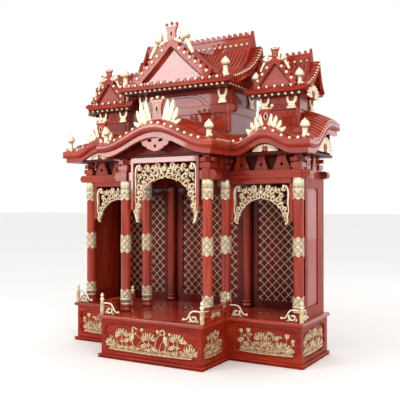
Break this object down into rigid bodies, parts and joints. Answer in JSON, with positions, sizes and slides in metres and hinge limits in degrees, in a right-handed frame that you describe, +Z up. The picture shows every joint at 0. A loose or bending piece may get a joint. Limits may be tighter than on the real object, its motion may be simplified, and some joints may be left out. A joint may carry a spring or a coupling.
{
  "type": "wealth god altar",
  "caption": "Household wealth god altar in red lacquered wood: T-shaped plinth, open columned storey with three niches, undulating lower roof and three gabled towers, gilded trim.",
  "frame": {"origin": "centre of the altar's overall box in plan, at the underside of the plinth, which rests on the table", "axes": "+Z up, -Y is the front the niches open to, +X to the viewer's right when facing the front"},
  "size_m": [0.864, 0.388, 1.0012],
  "materials": {
    "lacquered_wood": "clear gloss lacquer over red-brown stained hardwood",
    "dark_lacquered_wood": "dark red-brown lacquer, semi-gloss",
    "gilded_carving": "pale gold leaf over carved wood, satin"
  },
  "bodies": {
    "root": {"plinth_base_moulding": "lacquered_wood", "plinth_boards": "lacquered_wood", "deck_board": "lacquered_wood", "deck_rail_posts": "gilded_carving", "deck_scroll_arms": "gilded_carving", "deck_return_rails": "lacquered_wood", "centre_front_columns": "lacquered_wood", "side_bay_columns": "lacquered_wood", "back_columns": "lacquered_wood", "column_foot_sleeves": "gilded_carving", "column_middle_sleeves": "gilded_carving", "column_top_sleeves": "gilded_carving", "side_wall_frames": "lacquered_wood", "side_wall_panels": "lacquered_wood", "back_wall_frame": "dark_lacquered_wood", "lattice_panels": "lacquered_wood", "head_beams": "lacquered_wood", "bearing_blocks": "lacquered_wood", "frieze_struts": "lacquered_wood", "centre_hanging_frame": "lacquered_wood", "centre_valance": "gilded_carving", "side_valances": "gilded_carving", "soffit_board": "dark_lacquered_wood", "tympanum_board": "lacquered_wood", "gable_pendant": "lacquered_wood", "gold_fans": "gilded_carving", "eaves_fascias": "lacquered_wood", "eaves_bargeboards": "lacquered_wood", "rear_closing_boards": "lacquered_wood", "lower_roof_centre": "lacquered_wood", "lower_roof_sides": "lacquered_wood", "lower_roof_crests": "lacquered_wood", "centre_tower_walls": "lacquered_wood", "side_tower_walls": "lacquered_wood", "tower_brackets": "gilded_carving", "centre_tower_roof": "lacquered_wood", "side_tower_roofs": "lacquered_wood", "tower_gable_panels": "lacquered_wood", "tower_gable_bargeboards": "lacquered_wood", "flank_bargeboards": "lacquered_wood", "tower_ridges": "lacquered_wood", "tower_crests": "lacquered_wood", "roof_finials": "gilded_carving"}
  },
  "joints": []
}
